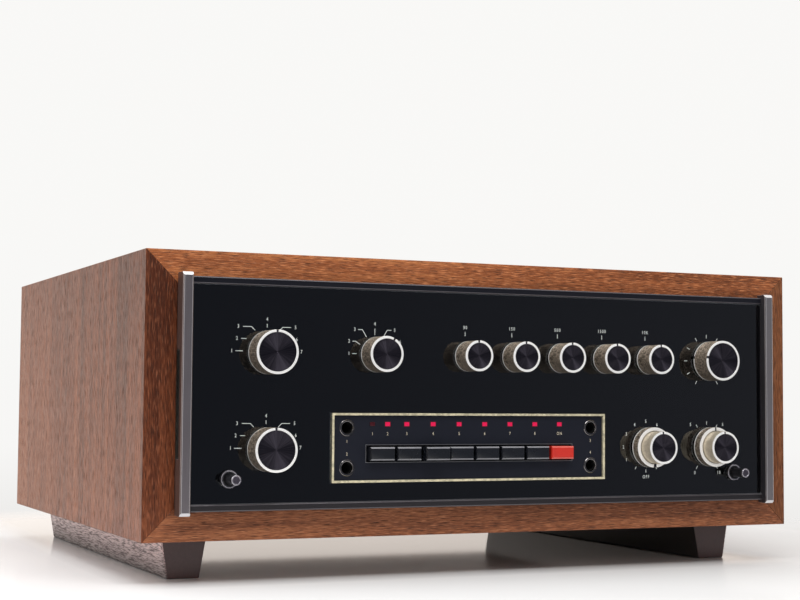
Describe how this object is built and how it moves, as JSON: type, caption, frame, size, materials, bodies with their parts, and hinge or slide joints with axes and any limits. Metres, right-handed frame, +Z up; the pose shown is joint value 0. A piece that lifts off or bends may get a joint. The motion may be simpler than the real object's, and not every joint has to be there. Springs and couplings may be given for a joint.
{
  "type": "stereo preamplifier",
  "caption": "Stereo preamplifier in a walnut cabinet on runners, with a black glass front, turned knobs, push buttons and a slide-out chassis.",
  "frame": {"origin": "on the table below the middle of the object's bounding box", "axes": "+X to the right as seen from the front, +Y towards the back, +Z up"},
  "size_m": [0.443, 0.3892, 0.1912],
  "materials": {
    "walnut": "oiled walnut, satin",
    "dark_wood": "dark stained, satin",
    "zinc_steel": "zinc plated sheet",
    "black_glass": "glass painted black behind, polished",
    "satin_aluminium": "satin with bright edges",
    "black_trim": "satin black",
    "gold_trim": "polished gold colour",
    "charcoal_plate": "matt charcoal",
    "red_lens": "clear red lens",
    "nickel": "nickel plated",
    "switch_plastic": "moulded black",
    "black_chrome": "dark chrome",
    "rear_paint": "matt grey-black paint",
    "circuit_board": "solder-masked board",
    "can_aluminium": "sleeved cans",
    "transformer_steel": "varnished laminations",
    "button_plastic": "moulded black, satin",
    "red_plastic": "moulded red, satin",
    "turned_aluminium": "turned, with a bright ring and a dark face"
  },
  "bodies": {
    "cabinet": {"cabinet_left_side": "walnut", "cabinet_right_side": "walnut", "cabinet_top": "walnut", "cabinet_bottom": "walnut", "runner_left": "dark_wood", "runner_right": "dark_wood", "slide_brackets": "zinc_steel", "bracket_screws": "zinc_steel"},
    "unit": {"front_plate": "zinc_steel", "glass_panel": "black_glass", "end_cap_left": "satin_aluminium", "end_cap_right": "satin_aluminium", "trim_rails": "black_trim", "window_frame": "gold_trim", "centre_plate": "charcoal_plate", "indicator_lights": "red_lens", "front_jacks": "nickel", "selector_switches": "switch_plastic", "rotary_controls": "nickel", "switch_bank": "switch_plastic", "lock_collars": "black_chrome", "chassis_frame": "zinc_steel", "top_cover": "zinc_steel", "bottom_cover": "zinc_steel", "cover_screws": "zinc_steel", "rear_panel": "rear_paint", "socket_strip": "nickel", "power_outlets": "switch_plastic", "fuse_holder": "switch_plastic", "cord_gland": "switch_plastic", "ground_post": "nickel", "speaker_terminals": "switch_plastic", "main_board": "circuit_board", "filter_capacitors": "can_aluminium", "power_transformer": "transformer_steel"},
    "upper_selector_knob": {"upper_selector_knob": "turned_aluminium"},
    "lower_selector_knob": {"lower_selector_knob": "turned_aluminium"},
    "mode_knob": {"mode_knob": "turned_aluminium"},
    "volume_knob": {"volume_knob": "turned_aluminium"},
    "equaliser_knob_1": {"equaliser_knob_1": "turned_aluminium"},
    "equaliser_knob_2": {"equaliser_knob_2": "turned_aluminium"},
    "equaliser_knob_3": {"equaliser_knob_3": "turned_aluminium"},
    "equaliser_knob_4": {"equaliser_knob_4": "turned_aluminium"},
    "equaliser_knob_5": {"equaliser_knob_5": "turned_aluminium"},
    "ratio_outer_knob": {"ratio_outer_knob": "turned_aluminium"},
    "ratio_inner_knob": {"ratio_inner_knob": "turned_aluminium"},
    "balance_outer_knob": {"balance_outer_knob": "turned_aluminium"},
    "balance_inner_knob": {"balance_inner_knob": "turned_aluminium"},
    "push_button_1": {"push_button_1": "button_plastic"},
    "push_button_2": {"push_button_2": "button_plastic"},
    "push_button_3": {"push_button_3": "button_plastic"},
    "push_button_4": {"push_button_4": "button_plastic"},
    "push_button_5": {"push_button_5": "button_plastic"},
    "push_button_6": {"push_button_6": "button_plastic"},
    "push_button_7": {"push_button_7": "button_plastic"},
    "push_button_8": {"push_button_8": "red_plastic"},
    "release_button_left": {"release_button_left": "black_chrome"},
    "release_button_right": {"release_button_right": "black_chrome"},
    "lock_latch_left": {"lock_latch_left": "zinc_steel"},
    "lock_latch_right": {"lock_latch_right": "zinc_steel"}
  },
  "joints": [
    {"name": "unit_slide", "type": "slide", "parent": "cabinet", "child": "unit", "axis": [0, -1, 0], "range_m": [0, 0.2]},
    {"name": "upper_selector_turn", "type": "hinge", "parent": "unit", "child": "upper_selector_knob", "pos_m": [-0.15, -0.1844, 0.133], "axis": [0, 1, 0], "range_deg": [-90, 90]},
    {"name": "lower_selector_turn", "type": "hinge", "parent": "unit", "child": "lower_selector_knob", "pos_m": [-0.15, -0.1844, 0.077], "axis": [0, 1, 0], "range_deg": [-90, 90]},
    {"name": "mode_turn", "type": "hinge", "parent": "unit", "child": "mode_knob", "pos_m": [-0.0819, -0.1844, 0.133], "axis": [0, 1, 0], "range_deg": [-120, 60]},
    {"name": "volume_turn", "type": "hinge", "parent": "unit", "child": "volume_knob", "pos_m": [0.1557, -0.1844, 0.133], "axis": [0, 1, 0], "range_deg": [-71, 229]},
    {"name": "equaliser_turn_1", "type": "hinge", "parent": "unit", "child": "equaliser_knob_1", "pos_m": [-0.0211, -0.1844, 0.133], "axis": [0, 1, 0], "range_deg": [-150, 150]},
    {"name": "equaliser_turn_2", "type": "hinge", "parent": "unit", "child": "equaliser_knob_2", "pos_m": [0.01135, -0.1844, 0.133], "axis": [0, 1, 0], "range_deg": [-150, 150]},
    {"name": "equaliser_turn_3", "type": "hinge", "parent": "unit", "child": "equaliser_knob_3", "pos_m": [0.0438, -0.1844, 0.133], "axis": [0, 1, 0], "range_deg": [-150, 150]},
    {"name": "equaliser_turn_4", "type": "hinge", "parent": "unit", "child": "equaliser_knob_4", "pos_m": [0.07625, -0.1844, 0.133], "axis": [0, 1, 0], "range_deg": [-150, 150]},
    {"name": "equaliser_turn_5", "type": "hinge", "parent": "unit", "child": "equaliser_knob_5", "pos_m": [0.1087, -0.1844, 0.133], "axis": [0, 1, 0], "range_deg": [-150, 150]},
    {"name": "ratio_outer_turn", "type": "hinge", "parent": "unit", "child": "ratio_outer_knob", "pos_m": [0.1087, -0.1844, 0.077], "axis": [0, 1, 0], "range_deg": [-30, 30]},
    {"name": "ratio_inner_turn", "type": "hinge", "parent": "unit", "child": "ratio_inner_knob", "pos_m": [0.1087, -0.1844, 0.077], "axis": [0, 1, 0], "range_deg": [-135, 135]},
    {"name": "balance_outer_turn", "type": "hinge", "parent": "unit", "child": "balance_outer_knob", "pos_m": [0.1557, -0.1844, 0.077], "axis": [0, 1, 0], "range_deg": [-150, 150]},
    {"name": "balance_inner_turn", "type": "hinge", "parent": "unit", "child": "balance_inner_knob", "pos_m": [0.1557, -0.1844, 0.077], "axis": [0, 1, 0], "range_deg": [-150, 150]},
    {"name": "button_1_press", "type": "slide", "parent": "unit", "child": "push_button_1", "axis": [0, 1, 0], "range_m": [-0.0034, 0.001]},
    {"name": "button_2_press", "type": "slide", "parent": "unit", "child": "push_button_2", "axis": [0, 1, 0], "range_m": [-0.0034, 0.001]},
    {"name": "button_3_press", "type": "slide", "parent": "unit", "child": "push_button_3", "axis": [0, 1, 0], "range_m": [0, 0.0044]},
    {"name": "button_4_press", "type": "slide", "parent": "unit", "child": "push_button_4", "axis": [0, 1, 0], "range_m": [-0.0034, 0.001]},
    {"name": "button_5_press", "type": "slide", "parent": "unit", "child": "push_button_5", "axis": [0, 1, 0], "range_m": [-0.0034, 0.001]},
    {"name": "button_6_press", "type": "slide", "parent": "unit", "child": "push_button_6", "axis": [0, 1, 0], "range_m": [-0.0034, 0.001]},
    {"name": "button_7_press", "type": "slide", "parent": "unit", "child": "push_button_7", "axis": [0, 1, 0], "range_m": [-0.0034, 0.001]},
    {"name": "button_8_press", "type": "slide", "parent": "unit", "child": "push_button_8", "axis": [0, 1, 0], "range_m": [-0.0034, 0.001]},
    {"name": "release_left_press", "type": "slide", "parent": "unit", "child": "release_button_left", "axis": [0, 1, 0], "range_m": [0, 0.01]},
    {"name": "latch_left_slide", "type": "slide", "parent": "unit", "child": "lock_latch_left", "axis": [-1, 0, 0], "range_m": [0, 0.004]},
    {"name": "release_right_press", "type": "slide", "parent": "unit", "child": "release_button_right", "axis": [0, 1, 0], "range_m": [0, 0.01]},
    {"name": "latch_right_slide", "type": "slide", "parent": "unit", "child": "lock_latch_right", "axis": [1, 0, 0], "range_m": [0, 0.004]}
  ],
  "couplings": [
    {"joint": "latch_left_slide", "follows": "release_left_press", "ratio": 0.4},
    {"joint": "latch_right_slide", "follows": "release_right_press", "ratio": 0.4}
  ]
}
